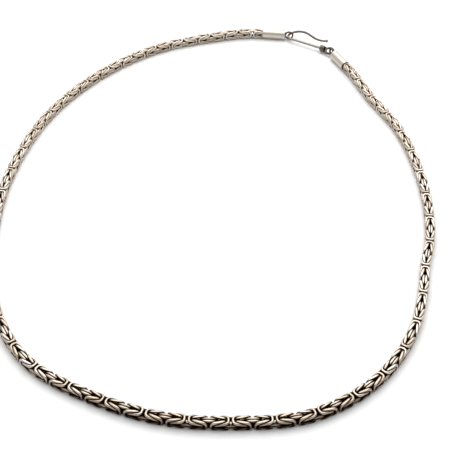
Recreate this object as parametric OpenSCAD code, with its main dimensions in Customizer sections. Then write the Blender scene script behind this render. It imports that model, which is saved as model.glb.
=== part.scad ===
// Byzantine neck chain with two soldered end caps and a wire hook clasp, lying closed in a loop.
// Millimetres. The chain lies on the plane z = 0, the clasp is at the back (+Y).

/* [Chain] */
// Width and height of the chain's rounded square section
chain_w = 2.9; // [2.6:0.1:3.2]
// Leg of the chamfer that stands for the chain's rounded edges
chain_edge = 0.5; // [0.3:0.05:0.7]
// Length over which the chain narrows in front of a cap
neck_len = 1.2; // [0.8:0.1:2]
// Length of narrowed chain soldered inside each cap
seat_len = 6; // [4:0.5:6.5]

/* [End caps] */
// Outer diameter of an end cap
cap_d = 3.5; // [3.4:0.1:4]
// Length of an end cap without its ring
cap_len = 8.6; // [8:0.2:10]
// Wall of the cap around the chain's end
cap_wall = 0.3; // [0.2:0.05:0.4]
// Radius of the rounded rim at the cap's closed end
cap_rim = 0.4; // [0.2:0.05:0.6]
// Outer diameter of the ring soldered to each cap
ring_d = 3.4; // [3.2:0.05:3.4]
// Wire of the soldered ring
ring_wire = 0.65; // [0.6:0.05:0.7]

/* [Hook] */
// Wire of the hook
hook_wire = 0.85; // [0.8:0.05:0.9]
// Radius of the hook's bend, at the middle of the wire
bend_r = 1.6; // [1.5:0.1:1.8]
// Radius of the arm's swelling, at the middle of the wire
arm_r = 5.5; // [5:0.25:6]
// Radius of the flare at the arm's free end, at the middle of the wire
flare_r = 7; // [6:0.5:8]
// Diameter of the bead at the arm's free end
tip_d = 1.2; // [1.1:0.05:1.4]
// Turns of wire wound round the shank
coil_turns = 3; // [2:1:4]
// Outer diameter of the hook's closed eye
eye_d = 3.8; // [3.7:0.05:4]
// Angle by which the hook leans up from the surface
hook_lean = 14; // [10:1:16]

/* [Clearances] */
// Gap between the narrowed chain and the cap's bore
seat_gap = 0.05; // [0.03:0.01:0.1]
// Slack between the hook's bend and the ring that it catches, along the pull
catch_slack = 0.7; // [0.6:0.05:0.8]
// Slack between the hook's eye and the ring that carries it, along the pull
eye_slack = 0.35; // [0.3:0.05:0.5]
// Overlap of soldered wires
solder = 0.25; // [0.15:0.05:0.35]

/* [Hidden] */
$fn = 64;

// Round points of the chain's middle line, from the cap that the hook catches to the cap that carries
// the hook, columns x and y. The chain lies flat, so its height follows from its section.
ROUTE = [
    [16.9, 91.2], [-3.5, 88], [-20.5, 81.5], [-34.5, 71], [-48, 55],
    [-57.2, 38.2], [-63, 19.5], [-66, 0], [-66, -18.5], [-63.5, -39],
    [-57.8, -57.2], [-48.2, -71.3], [-31.2, -82.3], [-12.5, -89.2], [6.5, -90.7],
    [25, -88.5], [41, -79], [53.5, -62.5], [59.4, -45.3], [61.5, -35.2],
    [64.2, -25.5], [66.2, -7], [65.5, 11.5], [61.9, 31.2], [54.6, 49.3],
    [48.2, 67.4]
];
// Headings in which the two caps point away from the chain
catch_turn = -7;
hook_turn = 115;

// Sampling of the chain's tube
rings_per_span = 3;
lift_spans = 2;
LAST = len(ROUTE) - 1;

// The cap's bore, the chain narrowed to it, and the axes' heights
bore_d = cap_d - 2 * cap_wall;
bore_len = seat_len + 0.3;
edge_r = norm([chain_w / 2, chain_w / 2 - chain_edge]);
squeeze = (bore_d / 2 - seat_gap) / edge_r;
chain_z = chain_w / 2;
cap_z = cap_d / 2;

// The soldered ring and the hook's parts
ring_r = (ring_d - ring_wire) / 2;
ring_reach = cap_len + ring_d / 2 - solder;
eye_r = (eye_d - hook_wire) / 2;
wrap_overlap = 0.05;
wrap_pitch = hook_wire - wrap_overlap;
coil_len = coil_turns * wrap_pitch + wrap_overlap;
eye_reach = coil_len + eye_d / 2 - solder;
bend_turn = 120;
arm_turn = 78;
flare_turn = 43;
arm_slope = bend_turn + arm_turn - 180;
joint_d = hook_wire + 0.03;
joint_len = 0.2;

function turn_dir(a) = [cos(a), sin(a)];

// Places of the two soldered rings, from the chain's ends outwards
catch_ring = ROUTE[0] + turn_dir(catch_turn) * (neck_len + ring_reach);
hook_ring = ROUTE[LAST] + turn_dir(hook_turn) * (neck_len + ring_reach);

// The hook fills the space between the rings: its bend hangs in one and its eye holds the other
wires_apart = (ring_wire + hook_wire) / 2;
bend_at = catch_ring + turn_dir(catch_turn) * (ring_r - wires_apart - catch_slack);
eye_at = hook_ring + turn_dir(hook_turn) * (ring_r - wires_apart - eye_slack + eye_r);
pull = eye_at - bend_at;
bend_drop = bend_r * cos(hook_lean);
hook_z = cap_z - bend_r * sin(hook_lean) / 2;
eye_from_bend = sqrt(pull * pull - bend_drop * bend_drop);
hook_turn_flat = atan2(pull[1], pull[0]) + atan2(bend_drop, eye_from_bend);
shank_len = eye_from_bend - bend_r - eye_reach;

// Straight run of the arm, so that its flare ends over the middle of the coil
arm_start_u = -bend_r * sin(bend_turn);
arm_rise_u = arm_r * (sin(bend_turn) + sin(arm_slope));
flare_u = flare_r * (sin(arm_slope) + sin(flare_turn - arm_slope));
arm_run = (shank_len + coil_len / 3 - arm_start_u - arm_rise_u - flare_u) / cos(arm_slope);

// Hermite curve through the route, with a unit tangent at each point
function unit(v) = v / norm(v);
function span(i) = norm(ROUTE[i + 1] - ROUTE[i]);
function chord(i) = unit(ROUTE[i + 1] - ROUTE[i]);
function tangent(i) =
    i == 0 ? -turn_dir(catch_turn) :
    i == LAST ? turn_dir(hook_turn) :
    (chord(i - 1) * span(i) + chord(i) * span(i - 1)) / (span(i - 1) + span(i));
function route_point(i, t) =
    ROUTE[i] * (2 * pow(t, 3) - 3 * pow(t, 2) + 1)
    + ROUTE[i + 1] * (3 * pow(t, 2) - 2 * pow(t, 3))
    + tangent(i) * span(i) * (pow(t, 3) - 2 * pow(t, 2) + t)
    + tangent(i + 1) * span(i) * (pow(t, 3) - pow(t, 2));
function route_dir(i, t) = unit(
    (ROUTE[i + 1] - ROUTE[i]) * 6 * (t - pow(t, 2))
    + tangent(i) * span(i) * (3 * pow(t, 2) - 4 * t + 1)
    + tangent(i + 1) * span(i) * (3 * pow(t, 2) - 2 * t));

// Height of the middle line: on the surface, rising to the caps' axes over the last spans
function smooth_step(t) = t * t * (3 - 2 * t);
function axis_height(i, t) =
    let (from_end = min(i + t, LAST - i - t))
    from_end >= lift_spans ? chain_z : cap_z + (chain_z - cap_z) * smooth_step(from_end / lift_spans);

// Rings of the tube: place of the middle, direction of travel, and size of the section
function cap_rings(at, away, ends) = [for (reach = ends)
    [concat(at + turn_dir(away) * reach, cap_z), turn_dir(away), squeeze]];
start_rings = [for (ring = cap_rings(ROUTE[0], catch_turn, [neck_len + seat_len, neck_len]))
    [ring[0], -ring[1], ring[2]]];
end_rings = cap_rings(ROUTE[LAST], hook_turn, [neck_len, neck_len + seat_len]);
free_rings = [for (i = [0 : LAST - 1], k = [0 : rings_per_span - 1])
    let (t = k / rings_per_span) [concat(route_point(i, t), axis_height(i, t)), route_dir(i, t), 1]];
last_ring = [[concat(ROUTE[LAST], cap_z), turn_dir(hook_turn), 1]];
RINGS = concat(start_rings, free_rings, last_ring, end_rings);

// Eight corners of the section, across and up, in order round the direction of travel
half_w = chain_w / 2;
flat = half_w - chain_edge;
SECTION = [[half_w, -flat], [half_w, flat], [flat, half_w], [-flat, half_w],
    [-half_w, flat], [-half_w, -flat], [-flat, -half_w], [flat, -half_w]];
SIDES = len(SECTION);

function corner(ring, s) =
    let (across = [ring[1][1], -ring[1][0]], p = SECTION[s] * ring[2])
    ring[0] + concat(across * p[0], p[1]);

module chain() {
    rings = len(RINGS);
    color([0.62, 0.58, 0.52])
    polyhedron(
        points = [for (ring = RINGS, s = [0 : SIDES - 1]) corner(ring, s)],
        faces = concat(
            [[for (s = [0 : SIDES - 1]) s]],
            [[for (s = [SIDES - 1 : -1 : 0]) (rings - 1) * SIDES + s]],
            [for (r = [0 : rings - 2], s = [0 : SIDES - 1])
                [r * SIDES + s, (r + 1) * SIDES + s, (r + 1) * SIDES + (s + 1) % SIDES]],
            [for (r = [0 : rings - 2], s = [0 : SIDES - 1])
                [r * SIDES + s, (r + 1) * SIDES + (s + 1) % SIDES, r * SIDES + (s + 1) % SIDES]]
        ),
        convexity = 10
    );
}

// Cup with a rounded closed end, open towards -X, and its upright ring
module end_cap() {
    color([0.86, 0.83, 0.78]) {
        rotate([0, 90, 0]) rotate_extrude() difference() {
            union() {
                square([cap_d / 2, cap_len - cap_rim]);
                square([cap_d / 2 - cap_rim, cap_len]);
                translate([cap_d / 2 - cap_rim, cap_len - cap_rim]) circle(r = cap_rim);
            }
            translate([-cap_d, 0]) square([cap_d, cap_len + cap_rim]);
            square([bore_d / 2, bore_len]);
        }
        translate([ring_reach, 0, 0]) rotate([90, 0, 0]) wire_ring(ring_r, ring_wire);
    }
}

module wire_ring(r, wire) {
    rotate_extrude() translate([r, 0]) circle(d = wire);
}

module place_cap(at, away) {
    translate(concat(at + turn_dir(away) * neck_len, cap_z)) rotate([0, 0, away]) end_cap();
}

module end_cap_catch_side() {
    place_cap(ROUTE[0], catch_turn);
}

module end_cap_hook_side() {
    place_cap(ROUTE[LAST], hook_turn);
}

// Short collar a hair wider than the wire, which closes the joint between two stretches of it
module joint() {
    rotate([0, 90, 0]) cylinder(d = joint_d, h = joint_len, center = true);
}

// Straight wire along +X, with what follows it at its end
module wire_run(length) {
    rotate([0, 90, 0]) cylinder(d = hook_wire, h = length);
    translate([length, 0, 0]) {
        joint();
        children();
    }
}

// Wire bent in the XY plane from the +X direction, to the left for a positive turn
module wire_bend(r, turn) {
    side = sign(turn);
    mirror([0, side < 0 ? 1 : 0, 0]) translate([0, r, 0]) rotate([0, 0, -90])
        rotate_extrude(angle = abs(turn)) translate([r, 0]) circle(d = hook_wire);
    translate([r * sin(abs(turn)), side * r * (1 - cos(turn)), 0]) rotate([0, 0, turn]) {
        joint();
        children();
    }
}

// Turns of wire wound round the shank, along +X
module coil() {
    rotate([0, 90, 0]) rotate_extrude() {
        square([hook_wire, coil_len]);
        for (k = [0 : coil_turns - 1])
            translate([wrap_pitch, hook_wire / 2 + k * wrap_pitch]) circle(d = hook_wire);
    }
}

// Hook in its own plane: shank along +X from the origin, arm above it, bend at the left
module hook_shape() {
    joint();
    wire_run(shank_len + coil_len / 2);
    translate([shank_len, 0, 0]) coil();
    translate([shank_len + eye_reach, 0, 0]) wire_ring(eye_r, hook_wire);
    rotate([0, 0, 180]) wire_bend(bend_r, -bend_turn)
        wire_bend(arm_r, -arm_turn)
        wire_run(arm_run)
        wire_bend(flare_r, flare_turn)
        sphere(d = tip_d);
}

module hook() {
    color([0.72, 0.69, 0.64])
    translate(concat(bend_at, hook_z)) rotate([0, 0, hook_turn_flat])
        translate([bend_r, -bend_drop, 0]) rotate([hook_lean, 0, 0]) hook_shape();
}

chain();
end_cap_catch_side();
end_cap_hook_side();
hook();
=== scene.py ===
import logging
import math
from dataclasses import dataclass, field
from enum import Enum
from typing import Any, Sequence, Union

import bpy
import numpy as np
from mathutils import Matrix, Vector
from mathutils.bvhtree import BVHTree


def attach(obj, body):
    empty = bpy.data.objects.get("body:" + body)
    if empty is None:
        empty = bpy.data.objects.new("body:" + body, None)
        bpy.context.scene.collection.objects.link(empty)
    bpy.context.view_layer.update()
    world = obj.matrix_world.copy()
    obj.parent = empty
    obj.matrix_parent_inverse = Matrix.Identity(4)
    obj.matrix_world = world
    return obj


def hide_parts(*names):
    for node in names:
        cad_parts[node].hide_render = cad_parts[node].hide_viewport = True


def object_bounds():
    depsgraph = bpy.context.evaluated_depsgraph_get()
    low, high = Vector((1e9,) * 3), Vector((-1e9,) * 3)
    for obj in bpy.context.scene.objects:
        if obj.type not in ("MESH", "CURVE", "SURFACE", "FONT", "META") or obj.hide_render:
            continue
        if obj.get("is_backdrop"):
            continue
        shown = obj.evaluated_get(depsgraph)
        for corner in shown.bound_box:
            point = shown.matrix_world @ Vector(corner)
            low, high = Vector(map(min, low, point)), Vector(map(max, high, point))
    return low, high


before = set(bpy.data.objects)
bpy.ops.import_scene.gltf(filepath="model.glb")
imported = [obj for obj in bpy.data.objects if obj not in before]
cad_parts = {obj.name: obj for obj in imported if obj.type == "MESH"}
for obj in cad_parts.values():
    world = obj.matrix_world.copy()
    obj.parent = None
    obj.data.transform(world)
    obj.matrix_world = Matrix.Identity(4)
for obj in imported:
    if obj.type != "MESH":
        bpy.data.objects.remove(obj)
CAD_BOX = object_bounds()

LOG = logging.getLogger("necklace")
MM = 0.001
Number = Union[int, float]

# Shade of silver where a piece sets none, from 0 for bright to 1 for warm.
PLAIN_TONE = 0.4

# Points of the chain's middle line on the surface, from the cap that the hook catches to the cap that
# carries the hook, columns x and y in metres. They are the route of the chain's solid.
ROUTE = (
    (0.0169, 0.0912), (-0.0035, 0.0880), (-0.0205, 0.0815), (-0.0345, 0.0710), (-0.0480, 0.0550),
    (-0.0572, 0.0382), (-0.0630, 0.0195), (-0.0660, 0.0000), (-0.0660, -0.0185), (-0.0635, -0.0390),
    (-0.0578, -0.0572), (-0.0482, -0.0713), (-0.0312, -0.0823), (-0.0125, -0.0892), (0.0065, -0.0907),
    (0.0250, -0.0885), (0.0410, -0.0790), (0.0535, -0.0625), (0.0594, -0.0453), (0.0615, -0.0352),
    (0.0642, -0.0255), (0.0662, -0.0070), (0.0655, 0.0115), (0.0619, 0.0312), (0.0546, 0.0493),
    (0.0482, 0.0674),
)


class Side(Enum):
    """The two ends of the chain."""

    CATCH = "catch_side"
    HOOK = "hook_side"


class Layer(Enum):
    """The record's slots for the metal's finishes."""

    OXIDISED = "oxidised_silver"
    POLISHED = "polished_silver"
    HOOK = "hook_silver"


# Shader maths


class Signal:
    """A socket that carries one value, with Python's arithmetic."""

    def __init__(self, graph: "Graph", socket: bpy.types.NodeSocket) -> None:
        """Wraps one output socket of a graph."""
        self.graph = graph
        self.socket = socket

    def _math(self, operation: str, first: Any, second: Any) -> "Signal":
        """Adds one Math node, for two values or Signals."""
        return self.graph.signal("ShaderNodeMath", {"operation": operation}, {0: first, 1: second})

    def __add__(self, other: Any) -> "Signal":
        """Sum."""
        return self._math("ADD", self, other)

    def __radd__(self, other: Any) -> "Signal":
        """Sum with a number first."""
        return self._math("ADD", other, self)

    def __sub__(self, other: Any) -> "Signal":
        """Difference."""
        return self._math("SUBTRACT", self, other)

    def __rsub__(self, other: Any) -> "Signal":
        """Difference from a number."""
        return self._math("SUBTRACT", other, self)

    def __mul__(self, other: Any) -> "Signal":
        """Product."""
        return self._math("MULTIPLY", self, other)

    def __rmul__(self, other: Any) -> "Signal":
        """Product with a number first."""
        return self._math("MULTIPLY", other, self)

    def step(self, low: Number, high: Number) -> "Signal":
        """Smooth step from 0 below low to 1 above high."""
        settings = {"interpolation_type": "SMOOTHSTEP", "clamp": True}
        return self.graph.signal("ShaderNodeMapRange", settings, {0: self, 1: low, 2: high, 3: 0.0, 4: 1.0})


class Graph:
    """The node tree of a material or of the sky."""

    def __init__(self, owner: Union[bpy.types.Material, bpy.types.World]) -> None:
        """Empties the owner's node tree.

        Args:
            owner: the material or sky.
        """
        owner.use_nodes = True
        self.owner = owner
        self.tree = owner.node_tree
        self.tree.nodes.clear()

    def node(self, kind: str, settings: dict[str, Any], inputs: dict[Any, Any]) -> bpy.types.Node:
        """Adds a node.

        Args:
            kind: the node's type.
            settings: its settings, which are set first.
            inputs: the values or links of its sockets, by name or place.

        Returns:
            The node.
        """
        made = self.tree.nodes.new(kind)
        for key, value in settings.items():
            setattr(made, key, value)
        for key, value in inputs.items():
            socket = made.inputs[key]
            if isinstance(value, Signal):
                value = value.socket
            if isinstance(value, bpy.types.NodeSocket):
                self.tree.links.new(value, socket)
            else:
                socket.default_value = value
        return made

    def signal(self, kind: str, settings: dict[str, Any], inputs: dict[Any, Any], out: Any = 0) -> Signal:
        """Adds a node and takes one of its outputs, by name or place, as a value."""
        return Signal(self, self.node(kind, settings, inputs).outputs[out])

    def position(self) -> bpy.types.NodeSocket:
        """The point on the piece, in the piece's own metres."""
        return self.node("ShaderNodeTexCoord", {}, {}).outputs["Object"]

    def attribute(self, name: str) -> Signal:
        """A number kept at each corner point of the mesh."""
        return self.signal("ShaderNodeAttribute", {"attribute_name": name}, {}, "Fac")

    def noise(self, scale: Number, detail: Number) -> Signal:
        """Cloudy pattern from 0 to 1, with its scale in clouds per metre and its detail in octaves."""
        inputs = {"Vector": self.position(), "Scale": scale, "Detail": detail}
        return self.signal("ShaderNodeTexNoise", {}, inputs, "Fac")

    def blend(self, factor: Any, first: Any, second: Any) -> bpy.types.NodeSocket:
        """Mixes two colours, with the factor as the share of the second."""
        # The node's colour sockets share their names with other sockets, so they go by place.
        sockets = {"Factor": factor, 6: first, 7: second}
        return self.node("ShaderNodeMix", {"data_type": "RGBA"}, sockets).outputs[2]

    def bump(self, height: Signal, depth: Number) -> bpy.types.NodeSocket:
        """Normal of a relief from 0 to 1, where 1 stands depth metres above 0."""
        inputs = {"Strength": 1.0, "Distance": depth, "Height": height}
        return self.node("ShaderNodeBump", {}, inputs).outputs["Normal"]

    def finish(self, inputs: dict[str, Any]) -> bpy.types.Material:
        """Adds the surface shader and the output.

        Args:
            inputs: the shader's values and links.

        Returns:
            The finished material.
        """
        shader = self.node("ShaderNodeBsdfPrincipled", {}, inputs)
        self.node("ShaderNodeOutputMaterial", {}, {"Surface": shader.outputs["BSDF"]})
        return self.owner


@dataclass(frozen=True)
class SilverFinish:
    """Silver that is polished where it rubs and tarnished where it doesn't.

    The mesh's shelter attribute says how closed in a point lies, from 0 on a free face to 1 in a closed
    shelter, with painted shade added at the front of the chain's loop and on the hook's arm and painted
    light, as lower values, at the back of the loop; its attribute "tone" varies the metal from bright to
    warm, with painted shade added at the front and back of the loop. Up to rubbed_to of shelter the metal is
    rubbed bright, and past dark_from it is tarnished, with a stained band between; where painted shade
    darkens the metal, the stain and tarnish stand for shade.
    """

    name: str
    bright: tuple[float, float, float]
    warm: tuple[float, float, float]
    stain_and_shade: tuple[float, float, float]
    darkening: tuple[float, float, float]
    rubbed_to: float
    dark_from: float
    patchiness: float
    polish: float
    scratch_depth: float = 0.003 * MM
    cloud_scale: float = 620.0
    cloud_octaves: float = 3.0
    grain_scale: float = 5200.0
    grain_octaves: float = 2.0
    band_overlap: float = 0.05
    cloud_share: float = 0.3
    haze_from: float = 0.2
    haze_to: float = 0.9
    dark_roughness: float = 0.3
    grain_roughness: float = 0.10
    haze_roughness: float = 0.06

    def build(self) -> bpy.types.Material:
        """Makes the material.

        Returns:
            The material.
        """
        graph = Graph(bpy.data.materials.new(self.name))
        shelter_and_shade = graph.attribute("shelter_and_shade")
        tone = graph.attribute("tone")
        clouds = graph.noise(self.cloud_scale, self.cloud_octaves)
        grain = graph.noise(self.grain_scale, self.grain_octaves)
        # Besides the patina in hollows, the shelter and the tone carry painted shade and light laid on along
        # the chain's loop and on the hook's arm.
        depth = shelter_and_shade + (clouds - 0.5) * self.patchiness
        band = (self.rubbed_to + self.dark_from) / 2
        stained_and_shaded = depth.step(self.rubbed_to, band + self.band_overlap)
        dark = depth.step(band - self.band_overlap, self.dark_from)
        shade = tone * (1 - self.cloud_share) + clouds * self.cloud_share
        warming = shade.step(self.haze_from, self.haze_to)
        metal = graph.blend(warming, (*self.bright, 1.0), (*self.warm, 1.0))
        colour = graph.blend(dark, graph.blend(stained_and_shaded, metal, (*self.stain_and_shade, 1.0)), (*self.darkening, 1.0))
        roughness = self.polish + dark * self.dark_roughness
        roughness += (grain - 0.5) * self.grain_roughness
        roughness += warming * self.haze_roughness
        return graph.finish({
            "Base Color": colour,
            "Metallic": 1.0,
            "Roughness": roughness,
            "Normal": graph.bump(grain, self.scratch_depth),
        })


@dataclass(frozen=True)
class FloorFinish:
    """Plain pale surface under the necklace."""

    colour: tuple[float, float, float] = (0.90, 0.90, 0.90)
    roughness: float = 0.75

    def build(self) -> bpy.types.Material:
        """Makes the material."""
        graph = Graph(bpy.data.materials.new("floor"))
        return graph.finish({"Base Color": (*self.colour, 1.0), "Roughness": self.roughness})


# Meshes


@dataclass
class MeshData:
    """Points and faces of a piece, with a shelter, which also carries painted shade and light, and a tone at
    each point.
    """

    points: np.ndarray
    faces: np.ndarray
    shelter_and_shade: np.ndarray
    tone: np.ndarray

    @staticmethod
    def joined(parts: Sequence["MeshData"]) -> "MeshData":
        """Joins several meshes into one.

        Args:
            parts: the meshes, whose faces are all rows of four corners.

        Returns:
            The joined mesh.
        """
        starts = np.cumsum([0] + [len(part.points) for part in parts[:-1]])
        return MeshData(
            np.concatenate([part.points for part in parts]),
            np.concatenate([part.faces + start for part, start in zip(parts, starts)]),
            np.concatenate([part.shelter_and_shade for part in parts]),
            np.concatenate([part.tone for part in parts]),
        )

    def build(self, name: str, material: bpy.types.Material) -> bpy.types.Object:
        """Makes the object, with smooth faces.

        Args:
            name: the object's name.
            material: its material.

        Returns:
            The object.
        """
        mesh = bpy.data.meshes.new(name)
        # A face with three corners carries its first corner twice.
        faces = [tuple(dict.fromkeys(face)) for face in self.faces.tolist()]
        mesh.from_pydata(self.points.tolist(), [], faces)
        mesh.polygons.foreach_set("use_smooth", [True] * len(mesh.polygons))
        for key, values in (("shelter_and_shade", self.shelter_and_shade), ("tone", self.tone)):
            attribute = mesh.attributes.new(key, "FLOAT", "POINT")
            attribute.data.foreach_set("value", values.astype(np.float32))
        mesh.materials.append(material)
        mesh.update()
        made = bpy.data.objects.new(name, mesh)
        bpy.context.scene.collection.objects.link(made)
        return made


def unit(vectors: np.ndarray) -> np.ndarray:
    """Vectors of length one."""
    return vectors / np.linalg.norm(vectors, axis=-1, keepdims=True)


def heading(degrees: float) -> np.ndarray:
    """Direction on the surface at an angle from +X."""
    return np.array([math.cos(math.radians(degrees)), math.sin(math.radians(degrees))])


def full_turn(steps: int) -> np.ndarray:
    """Angles evenly round a circle, in radians."""
    return np.arange(steps) * 2 * math.pi / steps


def quarter_turn(steps: int) -> list[float]:
    """Angles from 0 to a quarter of a turn, in radians."""
    return [math.radians(90 * k / steps) for k in range(steps + 1)]


def circle(centre: Sequence[float], radius: float, normal_axis: int, steps: int) -> np.ndarray:
    """Points round a circle that lies square to one axis.

    Args:
        centre: the circle's middle.
        radius: its radius.
        normal_axis: the axis that it is square to: 0, 1 or 2.
        steps: number of points.

    Returns:
        The points.
    """
    turn = full_turn(steps)
    flat = np.stack([np.cos(turn), np.sin(turn)], axis=1) * radius
    return np.insert(flat, normal_axis, 0.0, axis=1) + centre


def run_along(line: np.ndarray) -> np.ndarray:
    """Length of a line from its first point to each of its points."""
    return np.concatenate([[0.0], np.cumsum(np.linalg.norm(np.diff(line, axis=0), axis=1))])


def read_at(places: np.ndarray, run: np.ndarray, line: np.ndarray) -> np.ndarray:
    """A line's columns at places between the lengths run at its points."""
    return np.stack([np.interp(places, run, column) for column in line.T], axis=1)


def grid_faces(rows: int, sides: int, closed: bool) -> np.ndarray:
    """Four-cornered faces between the rings of a tube.

    Args:
        rows: number of rings.
        sides: points in a ring.
        closed: whether the last ring joins the first.

    Returns:
        The corners of each face.
    """
    last = rows if closed else rows - 1
    row, side = np.meshgrid(np.arange(last), np.arange(sides), indexing="ij")
    after = (row + 1) % rows
    beside = (side + 1) % sides
    corners = [row * sides + side, row * sides + beside, after * sides + beside, after * sides + side]
    return np.stack(corners, axis=-1).reshape(-1, 4)


def end_faces(rows: int, sides: int) -> np.ndarray:
    """Three-cornered faces that close the first and last rings of a tube.

    Args:
        rows: number of rings.
        sides: points in a ring.

    Returns:
        The corners of each face, with its first corner twice.
    """
    corner = np.arange(1, sides - 1)
    first = np.zeros_like(corner)
    last = first + (rows - 1) * sides
    head = np.stack([first, corner + 1, corner, first], axis=-1)
    tail = np.stack([last, last + corner, last + corner + 1, last], axis=-1)
    return np.concatenate([head, tail])


def wire_mesh(path: np.ndarray, radius: Union[float, np.ndarray], sides: int, closed: bool,
              flat_normal: Sequence[float]) -> MeshData:
    """Round wire along a path.

    Args:
        path: points of the wire's middle, in order.
        radius: the wire's radius, or one for each point.
        sides: points round the wire.
        closed: whether the path is a loop; an open wire gets a flat face at each end.
        flat_normal: a direction that the path never runs along.

    Returns:
        The wire's mesh.
    """
    if closed:
        along = unit(np.roll(path, -1, axis=0) - np.roll(path, 1, axis=0))
    else:
        along = unit(np.gradient(path, axis=0))
    across = unit(np.cross(along, np.asarray(flat_normal, float)))
    over = np.cross(along, across)
    turn = full_turn(sides)
    reach = np.broadcast_to(np.asarray(radius, float), (len(path),))[:, None, None]
    ring = across[:, None] * np.cos(turn)[None, :, None] + over[:, None] * np.sin(turn)[None, :, None]
    points = (path[:, None] + ring * reach).reshape(-1, 3)
    faces = grid_faces(len(path), sides, closed)
    if not closed:
        faces = np.concatenate([faces, end_faces(len(path), sides)])
    blank = np.zeros(len(points))
    return MeshData(points, faces, blank, blank + PLAIN_TONE)


def rounded_ends(path: np.ndarray, radius: float, steps: int = 4,
                 last_angle: float = 84.0) -> tuple[np.ndarray, np.ndarray]:
    """Adds round ends to an open wire's path.

    Args:
        path: points of the wire's middle.
        radius: the wire's radius.
        steps: rings in each round end.
        last_angle: place of an end's last ring on its round, in degrees, where 90 is the very tip.

    Returns:
        The longer path and the radius at each of its points.
    """
    angles = np.linspace(0.0, math.radians(last_angle), steps + 1)[1:]
    head = path[0] - unit(path[1] - path[0]) * radius * np.sin(angles)[::-1, None]
    tail = path[-1] + unit(path[-1] - path[-2]) * radius * np.sin(angles)[:, None]
    ends = radius * np.cos(angles)
    radii = np.concatenate([ends[::-1], np.full(len(path), radius), ends])
    return np.concatenate([head, path, tail]), radii


def turned_mesh(profile: Sequence[tuple[float, float]], sides: int) -> MeshData:
    """Surface turned about the X axis.

    Args:
        profile: columns distance along X and radius, from end to end.
        sides: points round the axis.

    Returns:
        The surface's mesh.
    """
    turn = full_turn(sides)
    rows = [np.stack([np.full(sides, x), r * np.cos(turn), r * np.sin(turn)], axis=1) for x, r in profile]
    points = np.concatenate(rows)
    faces = np.concatenate([grid_faces(len(profile), sides, False), end_faces(len(profile), sides)])
    blank = np.zeros(len(points))
    return MeshData(points, faces, blank, blank + PLAIN_TONE)


# The chain


@dataclass
class ChainRoute:
    """The way that the chain takes on the surface, from cap to cap and into both caps."""

    points: Sequence[tuple[float, float]] = ROUTE
    turns: dict[Side, float] = field(default_factory=lambda: {Side.CATCH: -7.0, Side.HOOK: 115.0})
    section: float = 2.9 * MM
    edge: float = 0.5 * MM
    cap_diameter: float = 3.5 * MM
    cap_wall: float = 0.3 * MM
    seat_gap: float = 0.05 * MM
    neck_length: float = 1.2 * MM
    seat_length: float = 6.0 * MM
    lift_spans: int = 2
    steps_per_span: int = 60

    def __post_init__(self) -> None:
        """Works out the middle line as a table along its length."""
        knots = np.array(self.points)
        legs = np.diff(knots, axis=0)
        spans = np.linalg.norm(legs, axis=1)
        chords = legs / spans[:, None]
        weights = spans[:, None]
        inner = (chords[:-1] * weights[1:] + chords[1:] * weights[:-1]) / (weights[:-1] + weights[1:])
        start = -heading(self.turns[Side.CATCH])
        end = heading(self.turns[Side.HOOK])
        tangents = np.concatenate([[start], inner, [end]])
        place = np.linspace(0.0, len(spans), len(spans) * self.steps_per_span + 1)
        span = np.minimum(place.astype(int), len(spans) - 1)
        t = (place - span)[:, None]
        pull = spans[span][:, None]
        line = (
            knots[span] * (2 * t**3 - 3 * t**2 + 1)
            + knots[span + 1] * (3 * t**2 - 2 * t**3)
            + tangents[span] * pull * (t**3 - 2 * t**2 + t)
            + tangents[span + 1] * pull * (t**3 - t**2)
        )
        from_end = np.minimum(place, len(spans) - place) / self.lift_spans
        lift = np.clip(from_end, 0.0, 1.0)
        low, high = self.section / 2, self.cap_diameter / 2
        height = high + (low - high) * lift * lift * (3 - 2 * lift)
        self.length = float(np.linalg.norm(np.diff(line, axis=0), axis=1).sum())
        self.inside = self.neck_length + self.seat_length
        first = line[0] - start * self.inside
        last = line[-1] + end * self.inside
        self.line = np.concatenate([[first], line, [last]])
        self.height = np.concatenate([[high], height, [high]])
        self.along = run_along(self.line) - self.inside
        self.travel = unit(np.gradient(self.line, self.along, axis=0))

    def squeeze(self, along: np.ndarray) -> np.ndarray:
        """How much the section narrows to enter the caps.

        Args:
            along: places along the chain, 0 and the route's length being the free chain's ends.

        Returns:
            The section's scale at each place.
        """
        bore = self.cap_diameter / 2 - self.cap_wall - self.seat_gap
        corner = math.hypot(self.section / 2, self.section / 2 - self.edge)
        past = np.maximum(-along, along - self.length) / self.neck_length
        return 1.0 + (bore / corner - 1.0) * np.clip(past, 0.0, 1.0)

    def place(self, local: np.ndarray) -> np.ndarray:
        """Lays points of the straight chain along the route.

        Args:
            local: points, columns across, up and along.

        Returns:
            The points in the frame's metres.
        """
        along = local[:, 2]
        scale = self.squeeze(along)[:, None]
        middle = read_at(along, self.along, self.line)
        travel = unit(read_at(along, self.along, self.travel))
        rise = np.interp(along, self.along, self.height)
        across = np.stack([-travel[:, 1], travel[:, 0]], axis=1)
        flat = middle + across * local[:, :1] * scale
        return np.column_stack([flat, rise + local[:, 1] * scale[:, 0]])


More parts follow.
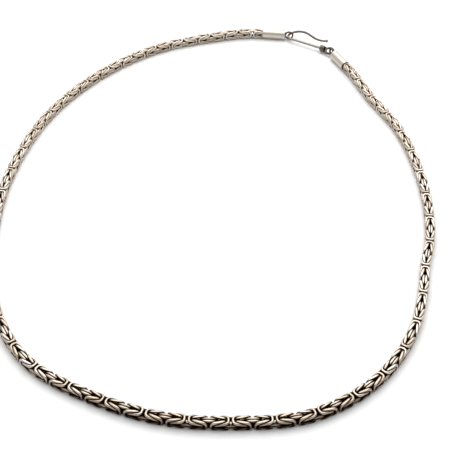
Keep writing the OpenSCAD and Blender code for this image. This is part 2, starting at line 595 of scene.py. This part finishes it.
@dataclass(frozen=True)
class LinkShape:
    """Middle line of one link: a rounded oval, and how far it stands out from the chain's axis.

    It stands out by near, middle and far at its near end, its middle and its far end along the chain.
    """

    half_length: float
    half_width: float
    squareness: float
    near: float
    middle: float
    far: float
    dense_points: int = 721

    def curve(self, points: int) -> np.ndarray:
        """The link's middle line, evenly spaced.

        Args:
            points: number of points round the link.

        Returns:
            The points, columns across the link, out from the chain's axis, and along the chain.
        """
        turn = np.linspace(0.0, 2 * math.pi, self.dense_points)
        power = 2.0 / self.squareness
        along = np.sign(np.cos(turn)) * np.abs(np.cos(turn)) ** power
        across = np.sign(np.sin(turn)) * np.abs(np.sin(turn)) ** power
        slope = (self.far - self.near) / 2
        bend = (self.far + self.near) / 2 - self.middle
        out = self.middle + slope * along + bend * along**2
        dense = np.stack([across * self.half_width, out, along * self.half_length], axis=1)
        run = run_along(dense)
        even = np.linspace(0.0, run[-1], points + 1)[:-1]
        return read_at(even, run, dense)


@dataclass
class Weave:
    """The links of a byzantine chain: upright pairs, flat pairs, and the leaning pairs that lock them.

    Lengths along the chain count from the middle of an upright pair. The straight chain runs along its
    third coordinate; the first is across it and the second is up. The middle of one flat pair lies at
    meeting_at on the route.
    """

    route: ChainRoute
    pitch: float = 10.88 * MM
    wire: float = 0.74 * MM
    meeting_at: float = 280.3 * MM
    straight: LinkShape = LinkShape(
        half_length=2.14 * MM, half_width=1.085 * MM, squareness=2.3,
        near=0.35 * MM, middle=0.35 * MM, far=0.35 * MM,
    )
    leaning: LinkShape = LinkShape(
        half_length=1.94 * MM, half_width=1.155 * MM, squareness=3.0,
        near=0.32 * MM, middle=0.745 * MM, far=1.12 * MM,
    )
    leaning_shift: float = 0.237 * MM
    wear: float = 0.03 * MM
    looseness: float = 0.012 * MM
    points_round_link: int = 44
    sides: int = 12
    lengths: int = 4
    seed: int = 11
    sight_lines: int = 60
    sight_reach: float = 1.6 * MM
    sight_start: float = 0.02 * MM
    grazing: float = 0.1
    # Painted shade at the front of the loop and painted light at its back, with a warmer, darker tone at
    # both, which worn lays on the links.
    front_from: float = -56.0 * MM
    front_span: float = 28.0 * MM
    front_painted_shade: float = 0.20
    outer_painted_shade: float = 0.22
    outer_from: float = 0.2
    back_painted_light: float = 0.20
    warming: float = 0.56
    back_painted_shade: float = 0.65

    def repeat(self) -> list[np.ndarray]:
        """Middle lines of the twelve links of one repeat.

        Returns:
            One array of points for each link.
        """
        quarter = self.pitch / 4
        upright = self.straight.curve(self.points_round_link)[:, [1, 0, 2]]
        leaning = self.leaning.curve(self.points_round_link)
        leaning[:, 2] += quarter + self.leaning_shift
        lines = []
        for side in (1.0, -1.0):
            pair = upright * [side, 1.0, 1.0]
            lock = leaning * [1.0, side, 1.0]
            lines += [pair, self.swapped(pair), lock, self.swapped(lock)]
            lines += [self.mirrored(lock), self.mirrored(self.swapped(lock))]
        return lines

    def swapped(self, line: np.ndarray) -> np.ndarray:
        """The same link on the other side of a quarter place, turned a quarter round the chain."""
        return np.stack([line[:, 1], line[:, 0], self.pitch / 2 - line[:, 2]], axis=1)

    def mirrored(self, line: np.ndarray) -> np.ndarray:
        """The same link on the other side of the middle of a flat pair."""
        return line * [1.0, 1.0, -1.0] + [0.0, 0.0, self.pitch]

    def link_mesh(self, line: np.ndarray) -> MeshData:
        """One link of round wire, in the straight chain.

        Args:
            line: the link's middle line.

        Returns:
            The link's mesh.
        """
        spread = np.ptp(line, axis=0)
        normal = (0.0, 1.0, 0.0) if spread[0] > spread[1] else (1.0, 0.0, 0.0)
        return wire_mesh(line, self.wire / 2, self.sides, True, normal)

    def sheltered(self, links: Sequence[MeshData], lines: Sequence[np.ndarray]) -> None:
        """Works out how closed in each point of a repeat's links lies, among the links around it.

        Args:
            links: the links of one repeat, whose shelter is filled in.
            lines: their middle lines.
        """
        repeat = MeshData.joined(links)
        shifts = [[0.0, 0.0, step * self.pitch] for step in (-1, 0, 1)]
        points = np.concatenate([repeat.points + shift for shift in shifts])
        faces = np.concatenate([repeat.faces + k * len(repeat.points) for k in range(len(shifts))])
        tree = BVHTree.FromPolygons((points / MM).tolist(), faces.tolist())
        # The sight lines point evenly all round, each turned on from the last by the golden angle.
        count = self.sight_lines
        turn = np.arange(count) * math.pi * (3 - math.sqrt(5))
        rise = 1 - (2 * np.arange(count) + 1) / count
        flat = np.sqrt(1 - rise**2)
        sights = np.stack([flat * np.cos(turn), flat * np.sin(turn), rise], axis=1)
        for link, line in zip(links, lines):
            outward = unit(link.points - np.repeat(line, self.sides, axis=0))
            for number, (point, normal) in enumerate(zip(link.points / MM, outward)):
                weights = sights @ normal
                facing = weights > self.grazing
                start = Vector(point + normal * (self.sight_start / MM))
                blocked = 0.0
                for sight, weight in zip(sights[facing], weights[facing]):
                    if tree.ray_cast(start, Vector(sight), self.sight_reach / MM)[0] is not None:
                        blocked += weight
                link.shelter_and_shade[number] = blocked / weights[facing].sum()

    def build(self, material: bpy.types.Material) -> list[bpy.types.Object]:
        """Makes the whole chain as a few joined meshes.

        Args:
            material: the links' material.

        Returns:
            The pieces, in order along the chain.
        """
        random = np.random.default_rng(self.seed)
        lowest, highest = -self.route.inside, self.route.length + self.route.inside
        first = self.meeting_at - self.pitch / 2
        start = math.floor((lowest - first) / self.pitch) - 1
        stop = math.ceil((highest - first) / self.pitch) + 1
        lines = self.repeat()
        base = [self.link_mesh(line) for line in lines]
        self.sheltered(base, lines)
        links = []
        for number in range(start, stop):
            for link in base:
                shift = np.array([0.0, 0.0, first + number * self.pitch])
                shift += random.normal(0.0, self.looseness, 3)
                tone = random.random()
                points = link.points + shift
                if points[:, 2].min() > lowest and points[:, 2].max() < highest:
                    links.append(self.worn(points, link, tone))
        LOG.info("chain: %d links", len(links))
        share = math.ceil(len(links) / self.lengths)
        pieces = []
        for number in range(self.lengths):
            part = MeshData.joined(links[number * share:(number + 1) * share])
            pieces.append(part.build(f"chain_links_{number + 1}", material))
        return pieces

    def worn(self, points: np.ndarray, link: MeshData, tone: float) -> MeshData:
        """Rubs a link flat where it stands out of the section, and lays it on the route.

        At the front of the loop the links get painted shade, most of all on their outer lower side next to
        the floor, and at the back they get painted light. The front and the back also get a warmer, darker
        tone as painted shade.

        Args:
            points: the link's points in the straight chain.
            link: the link as made, for its faces and shelter.
            tone: its shade of silver.

        Returns:
            The link in its place.
        """
        half = self.route.section / 2
        points = points * [1 + self.wear / half, 1 + self.wear / half, 1.0]
        points[:, :2] = np.clip(points[:, :2], -half, half)
        placed = self.route.place(points)
        out = (placed - self.route.place(points * [0.0, 0.0, 1.0])) / half
        # At the front this is 1 on the section's outer lower edge, and 0 from just past its middle.
        outer_side = np.clip((self.outer_from - out[:, 1] - out[:, 2]) / (2 + self.outer_from), 0.0, 1.0)
        front = np.clip((self.front_from - placed[:, 1]) / self.front_span, 0.0, 1.0)
        back = np.clip(placed[:, 1] / self.front_span, 0.0, 1.0)
        # Painted shade at the front of the loop, strongest on its outer lower side next to the floor, and
        # painted light at the back.
        darkening = front * (self.front_painted_shade + self.outer_painted_shade * outer_side)
        shelter_and_shade = link.shelter_and_shade + darkening - self.back_painted_light * back
        # Painted shade: a warmer, darker tone at the front and the back of the loop, added to each link's
        # own tone.
        warming = self.warming * np.maximum(front, back * self.back_painted_shade)
        return MeshData(placed, link.faces, shelter_and_shade, tone + warming)


# The clasp


@dataclass
class EndCap:
    """Round cap on the chain's end, with the ring soldered to its closed end.

    What lies deeper than skin under the cap's outer face belongs to its bore. The solder's fillet narrows
    to a radius of fillet_tip ring wires. The rings that divide the bore and the outer face lie at shares
    of their lengths.
    """

    route: ChainRoute
    side: Side
    length: float = 8.6 * MM
    rim: float = 0.4 * MM
    lip: float = 0.07 * MM
    bore_length: float = 6.3 * MM
    ring_diameter: float = 3.4 * MM
    ring_wire: float = 0.65 * MM
    solder: float = 0.25 * MM
    fillet: float = 0.45 * MM
    fillet_tip: float = 0.45
    skin: float = 0.2 * MM
    pole_radius: float = 0.03 * MM
    lip_round: float = 0.3
    bore_rings: tuple[float, ...] = (0.98, 0.5, 0.1)
    outer_rings: tuple[float, ...] = (0.05, 0.3, 0.6, 0.9)
    rim_steps: int = 8
    fillet_steps: int = 6
    sides: int = 72
    ring_steps: int = 64
    ring_sides: int = 20
    bore_shelter: float = 0.6
    solder_shelter: float = 0.9
    ring_shelter: float = 0.72

    @property
    def turn(self) -> float:
        """Heading in which the cap points away from the chain."""
        return self.route.turns[self.side]

    @property
    def ring_reach(self) -> float:
        """Distance from the cap's mouth to the middle of its ring."""
        return self.length + self.ring_diameter / 2 - self.solder

    @property
    def ring_radius(self) -> float:
        """Radius of the ring at the middle of its wire."""
        return (self.ring_diameter - self.ring_wire) / 2

    @property
    def mouth(self) -> np.ndarray:
        """Middle of the cap's mouth on the surface."""
        knot = self.route.points[0] if self.side is Side.CATCH else self.route.points[-1]
        return np.array(knot) + heading(self.turn) * self.route.neck_length

    @property
    def ring_at(self) -> np.ndarray:
        """Middle of the ring on the surface."""
        return self.mouth + heading(self.turn) * self.ring_reach

    def profile(self) -> list[tuple[float, float]]:
        """Outline of the cup and its solder, from the bottom of the bore to the solder's tip.

        Returns:
            Columns distance from the mouth and radius.
        """
        outer = self.route.cap_diameter / 2
        bore = outer - self.route.cap_wall
        rounding = self.lip * self.lip_round
        outline = [(self.bore_length, self.pole_radius), (self.bore_length, bore)]
        outline += [(self.bore_length * share, bore) for share in self.bore_rings]
        outline += [(self.lip, bore), (0.0, bore + self.lip), (0.0, outer - self.lip)]
        outline += [(rounding, outer - rounding), (self.lip, outer)]
        outline += [(self.length * share, outer) for share in self.outer_rings]
        centre = self.length - self.rim
        for angle in quarter_turn(self.rim_steps):
            outline.append((centre + self.rim * math.sin(angle), outer - self.rim * (1 - math.cos(angle))))
        for angle in quarter_turn(self.fillet_steps):
            radius = self.ring_wire * self.fillet_tip + self.fillet * (1 - math.sin(angle))
            outline.append((self.length + self.fillet * (1 - math.cos(angle)), radius))
        outline.append((self.length + self.fillet, self.pole_radius))
        return outline

    def build(self, material: bpy.types.Material) -> bpy.types.Object:
        """Makes the cap.

        Args:
            material: its material.

        Returns:
            The cap.
        """
        cup = turned_mesh(self.profile(), self.sides)
        along = cup.points[:, 0]
        distance = np.hypot(cup.points[:, 1], cup.points[:, 2])
        inside = (distance < self.route.cap_diameter / 2 - self.skin) & (along <= self.bore_length)
        on_solder = np.clip((along - self.length) / MM, 0.0, 1.0)
        cup.shelter_and_shade[:] = inside * self.bore_shelter + on_solder * self.solder_shelter
        path = circle((self.ring_reach, 0.0, 0.0), self.ring_radius, 1, self.ring_steps)
        ring = wire_mesh(path, self.ring_wire / 2, self.ring_sides, True, (0.0, 1.0, 0.0))
        ring.shelter_and_shade[:] = self.ring_shelter
        whole = MeshData.joined([cup, ring])
        ahead = heading(self.turn)
        x, y, z = whole.points.T
        whole.points = np.stack([
            self.mouth[0] + x * ahead[0] - y * ahead[1],
            self.mouth[1] + x * ahead[1] + y * ahead[0],
            z + self.route.cap_diameter / 2,
        ], axis=1)
        return whole.build(f"end_cap_{self.side.value}_metal", material)


@dataclass
class Hook:
    """The hook clasp: a shank with a closed eye, a wound coil, a bend and an arm with a flared tip.

    The winding's radius, the width of the wound tail and the taper's narrow end are given in wires.
    """

    catch: EndCap
    carrier: EndCap
    wire: float = 0.85 * MM
    bend_radius: float = 1.6 * MM
    arm_radius: float = 5.5 * MM
    flare_radius: float = 7.0 * MM
    tip_diameter: float = 1.2 * MM
    coil_turns: int = 3
    eye_diameter: float = 3.8 * MM
    lean: float = 14.0
    bend_turn: float = 120.0
    arm_turn: float = 78.0
    flare_turn: float = 43.0
    catch_slack: float = 0.7 * MM
    eye_slack: float = 0.35 * MM
    solder: float = 0.25 * MM
    wrap_overlap: float = 0.05 * MM
    wrap_radius: float = 0.97
    tail_width: float = 0.98
    taper_length: float = 5.0 * MM
    taper_to: float = 0.86
    # Painted shade on the hook's arm, at most this much.
    arm_painted_shade: float = 0.42
    coil_shelter: float = 0.35
    groove_shelter: float = 0.9
    eye_shelter: float = 0.5
    step: float = 0.12 * MM
    steps_per_wrap: int = 40
    eye_steps: int = 72
    sides: int = 20
    tail_sides: int = 18
    bead_sides: int = 24
    bead_rings: int = 13
    bead_pole: float = 1.0

    def __post_init__(self) -> None:
        """Works out the hook's place between the two rings."""
        wires = (self.catch.ring_wire + self.wire) / 2
        self.eye_radius = (self.eye_diameter - self.wire) / 2
        self.wrap_pitch = self.wire - self.wrap_overlap
        self.coil_length = self.coil_turns * self.wrap_pitch + self.wrap_overlap
        self.eye_reach = self.coil_length + self.eye_diameter / 2 - self.solder
        room = self.catch.ring_radius - wires
        self.bend_at = self.catch.ring_at + heading(self.catch.turn) * (room - self.catch_slack)
        reach = room - self.eye_slack + self.eye_radius
        pull = self.carrier.ring_at + heading(self.carrier.turn) * reach - self.bend_at
        self.bend_drop = self.bend_radius * math.cos(math.radians(self.lean))
        rise = self.bend_radius * math.sin(math.radians(self.lean)) / 2
        self.height = self.catch.route.cap_diameter / 2 - rise
        eye_from_bend = math.sqrt(float(pull @ pull) - self.bend_drop**2)
        self.turn = math.atan2(pull[1], pull[0]) + math.atan2(self.bend_drop, eye_from_bend)
        self.shank_length = eye_from_bend - self.bend_radius - self.eye_reach

    def arm_run(self) -> float:
        """Length of the arm's straight run, so that its flare ends over the coil.

        Returns:
            The length.
        """
        slope = math.radians(self.bend_turn + self.arm_turn - 180)
        bend = math.radians(self.bend_turn)
        flare = math.radians(self.flare_turn)
        start = -self.bend_radius * math.sin(bend)
        rise = self.arm_radius * (math.sin(bend) + math.sin(slope))
        tip = self.flare_radius * (math.sin(slope) + math.sin(flare - slope))
        return (self.shank_length + self.coil_length / 3 - start - rise - tip) / math.cos(slope)

    def outline(self) -> np.ndarray:
        """Middle line of the wire from the coil round the bend to the tip, in the hook's plane.

        Returns:
            The points, columns along the shank, across it and out of the plane.
        """
        shank = self.shank_length + self.coil_length / 2
        at = np.array([shank, 0.0])
        ahead = 180.0
        points = [at]
        # Each stretch: its length if it is straight, else its radius and turn in degrees.
        stretches = (
            (shank, 0.0, 0.0),
            (0.0, self.bend_radius, -self.bend_turn),
            (0.0, self.arm_radius, -self.arm_turn),
            (self.arm_run(), 0.0, 0.0),
            (0.0, self.flare_radius, self.flare_turn),
        )
        for length, radius, turn in stretches:
            if turn == 0.0:
                count = max(2, int(length / self.step))
                points += [at + heading(ahead) * length * k / count for k in range(1, count + 1)]
            else:
                side = math.copysign(1.0, turn)
                centre = at + heading(ahead + 90 * side) * radius
                count = max(4, int(radius * math.radians(abs(turn)) / self.step))
                for k in range(1, count + 1):
                    points.append(centre + heading(ahead - 90 * side + turn * k / count) * radius)
                ahead += turn
            at = points[-1]
        return np.column_stack([np.array(points), np.zeros(len(points))])

    def winding(self) -> np.ndarray:
        """Middle line of the wire's tail, wound round the shank from the eye.

        Returns:
            The points of the winding.
        """
        share = np.linspace(0.0, 1.0, self.coil_turns * self.steps_per_wrap + 1)
        turn = share * self.coil_turns * 2 * math.pi
        begin = self.shank_length + self.wire / 2
        along = begin + share * (self.coil_length - self.wire)
        radius = self.wire * self.wrap_radius
        return np.stack([along, radius * np.cos(turn), radius * np.sin(turn)], axis=1)

    def build(self, material: bpy.types.Material) -> bpy.types.Object:
        """Makes the hook.

        Args:
            material: its material.

        Returns:
            The hook.
        """
        half = self.wire / 2
        outline = self.outline()
        run = run_along(outline)
        taper = np.clip((run[-1] - run) / self.taper_length, 0.0, 1.0)
        radii = half * (self.taper_to + (1 - self.taper_to) * taper)
        arm = wire_mesh(outline, radii, self.sides, False, (0.0, 0.0, 1.0))
        # Painted shade: the wire darkens the farther it lies on the arm's side of the shank, so the arm past
        # the bend is darker.
        arm.shelter_and_shade[:] = np.clip(arm.points[:, 1] / self.bend_radius, 0.0, 1.0) * self.arm_painted_shade
        wound_path, wound_radii = rounded_ends(self.winding(), half * self.tail_width)
        wound = wire_mesh(wound_path, wound_radii, self.tail_sides, False, (1.0, 0.0, 0.0))
        distance = np.hypot(wound.points[:, 1], wound.points[:, 2])
        under = (self.wire * (self.wrap_radius + 0.5) - distance) / MM
        wound.shelter_and_shade[:] = np.clip(self.coil_shelter + under, 0.0, self.groove_shelter)
        eye_at = (self.shank_length + self.eye_reach, 0.0, 0.0)
        eye_path = circle(eye_at, self.eye_radius, 2, self.eye_steps)
        eye = wire_mesh(eye_path, half, self.sides, True, (0.0, 0.0, 1.0))
        eye.shelter_and_shade[:] = self.eye_shelter
        tip = self.bead(outline[-1])
        whole = MeshData.joined([arm, wound, eye, tip])
        whole.points = self.placed(whole.points)
        return whole.build("hook_metal", material)

    def bead(self, at: np.ndarray) -> MeshData:
        """Small bead at the arm's free end.

        Args:
            at: its middle, in the hook's plane.

        Returns:
            The bead's mesh.
        """
        turns = np.radians(np.linspace(self.bead_pole, 180 - self.bead_pole, self.bead_rings))
        radius = self.tip_diameter / 2
        profile = [(-math.cos(turn) * radius, math.sin(turn) * radius) for turn in turns]
        ball = turned_mesh(profile, self.bead_sides)
        ball.points += at
        return ball

    def placed(self, points: np.ndarray) -> np.ndarray:
        """Moves points from the hook's plane to their place between the rings.

        Args:
            points: points in the hook's own plane.

        Returns:
            The points in the frame's metres.
        """
        lean = math.radians(self.lean)
        x, y, z = points.T
        u = x + self.bend_radius
        v = y * math.cos(lean) - z * math.sin(lean) - self.bend_drop
        w = y * math.sin(lean) + z * math.cos(lean)
        c, s = math.cos(self.turn), math.sin(self.turn)
        surface = np.stack([u * c - v * s, u * s + v * c], axis=1) + self.bend_at
        return np.column_stack([surface, self.height + w])


# The studio


@dataclass(frozen=True)
class Softbox:
    """A square soft light."""

    name: str
    at: tuple[float, float, float]
    aim: tuple[float, float, float]
    size: float
    watts: float

    def build(self) -> bpy.types.Object:
        """Makes the light, facing its aim.

        Returns:
            The light.
        """
        data = bpy.data.lights.new(self.name, "AREA")
        data.shape = "SQUARE"
        data.size = self.size
        data.energy = self.watts
        made = bpy.data.objects.new(self.name, data)
        made.location = self.at
        made.rotation_euler = (Vector(self.aim) - Vector(self.at)).to_track_quat("-Z", "Y").to_euler()
        bpy.context.scene.collection.objects.link(made)
        return made


@dataclass(frozen=True)
class Studio:
    """Camera, floor and soft lights.

    The sky is a little darker on the near side than behind, and darkest on the near side overhead.
    """

    eye: tuple[float, float, float] = (0.003541, -0.23827, 0.20175)
    pitch_down: float = 42.26
    lens_mm: float = 78.84
    sensor_mm: float = 36.0
    nearest: float = 0.01
    farthest: float = 20.0
    floor_reach: float = 4.0
    overhead: Softbox = Softbox("overhead", at=(0.0, 0.20, 0.72), aim=(0.0, 0.05, 0.0), size=0.90, watts=4.5)
    behind: Softbox = Softbox("behind", at=(0.10, 0.90, 0.90), aim=(0.0, 0.0, 0.0), size=1.10, watts=5.0)
    sky_behind: float = 0.80
    sky_near: float = 0.78
    sky_turn: tuple[float, float] = (-0.35, 0.25)
    sky_rise: tuple[float, float] = (0.35, 0.75)
    sky_dimming: float = 0.6

    def camera(self) -> bpy.types.Object:
        """Sets up the camera at the viewing angle.

        Returns:
            The camera.
        """
        data = bpy.data.cameras.new("camera")
        data.lens = self.lens_mm
        data.sensor_width = self.sensor_mm
        data.clip_start = self.nearest
        data.clip_end = self.farthest
        made = bpy.data.objects.new("camera", data)
        made.location = self.eye
        made.rotation_euler = (math.radians(90 - self.pitch_down), 0.0, 0.0)
        bpy.context.scene.collection.objects.link(made)
        bpy.context.scene.camera = made
        return made

    def floor(self) -> bpy.types.Object:
        """Lays the pale floor under the necklace.

        Returns:
            The floor.
        """
        reach = self.floor_reach
        mesh = bpy.data.meshes.new("floor")
        corners_at = [(-reach, -reach, 0), (reach, -reach, 0), (reach, reach, 0), (-reach, reach, 0)]
        mesh.from_pydata(corners_at, [], [(0, 1, 2, 3)])
        mesh.materials.append(FloorFinish().build())
        made = bpy.data.objects.new("floor", mesh)
        bpy.context.scene.collection.objects.link(made)
        made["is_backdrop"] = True
        return made

    def lights(self) -> None:
        """Lights the necklace from above and behind, under a pale sky."""
        self.overhead.build()
        self.behind.build()
        world = bpy.data.worlds.new("sky")
        graph = Graph(world)
        facing = graph.node("ShaderNodeTexCoord", {}, {}).outputs["Generated"]
        axes = graph.node("ShaderNodeSeparateXYZ", {}, {"Vector": facing}).outputs
        far_side = Signal(graph, axes["Y"]).step(*self.sky_turn)
        high = Signal(graph, axes["Z"]).step(*self.sky_rise)
        near = self.sky_near * (1.0 - high * self.sky_dimming)
        strength = near + far_side * (self.sky_behind - near)
        sky = graph.node("ShaderNodeBackground", {}, {"Color": (1.0, 1.0, 1.0, 1.0), "Strength": strength})
        graph.node("ShaderNodeOutputWorld", {}, {"Surface": sky.outputs["Background"]})
        bpy.context.scene.world = world
        bpy.context.scene.view_settings.view_transform = "Standard"


# Its stain and tarnish colours also paint the shade laid on at the front of the chain's loop.
LINK_SILVER = SilverFinish(
    "link_silver",
    bright=(0.62, 0.57, 0.51),
    warm=(0.49, 0.41, 0.325),
    stain_and_shade=(0.14, 0.090, 0.058),
    darkening=(0.010, 0.005, 0.003),
    rubbed_to=0.16,
    dark_from=0.50,
    patchiness=0.12,
    polish=0.34,
)
CAP_SILVER = SilverFinish(
    "cap_silver",
    bright=(0.60, 0.55, 0.49),
    warm=(0.52, 0.47, 0.41),
    stain_and_shade=(0.20, 0.16, 0.13),
    darkening=(0.04, 0.03, 0.02),
    rubbed_to=0.25,
    dark_from=0.90,
    patchiness=0.20,
    polish=0.40,
)
# Painted shade: the hook's silver is darker than the links', standing in for the dark surroundings that the
# hook reflects.
HOOK_SILVER = SilverFinish(
    "hook_silver",
    bright=(0.30, 0.27, 0.235),
    warm=(0.24, 0.21, 0.18),
    stain_and_shade=(0.13, 0.11, 0.09),
    darkening=(0.04, 0.03, 0.02),
    rubbed_to=0.10,
    dark_from=0.80,
    patchiness=0.20,
    polish=0.38,
)


def dress(piece: bpy.types.Object, node: str, layer: Layer) -> None:
    """Fixes a piece to the frame in place of a solid.

    Args:
        piece: the piece.
        node: the solid that it stands for.
        layer: the record's slot of its finish; not used.
    """
    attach(piece, "root")
    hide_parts(node)
    LOG.info("%s: %d faces, in place of %s", piece.name, len(piece.data.polygons), node)


def corners(box: Sequence[Sequence[float]]) -> list[list[float]]:
    """A box's two corners as plain lists."""
    return [[float(value) for value in corner] for corner in box]


def main() -> None:
    """Builds the necklace and its studio."""
    logging.basicConfig(level=logging.INFO, format="%(name)s: %(message)s")
    studio = Studio()
    studio.camera()
    studio.floor()
    studio.lights()
    route = ChainRoute()
    for piece in Weave(route).build(LINK_SILVER.build()):
        dress(piece, "chain", Layer.OXIDISED)
    caps = {side: EndCap(route, side) for side in Side}
    cap_silver = CAP_SILVER.build()
    for side, cap in caps.items():
        dress(cap.build(cap_silver), f"end_cap_{side.value}", Layer.POLISHED)
    hook = Hook(caps[Side.CATCH], caps[Side.HOOK])
    dress(hook.build(HOOK_SILVER.build()), "hook", Layer.HOOK)
    {"cad": corners(CAD_BOX), "visual": corners(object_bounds())}


if __name__ == "__main__":
    main()
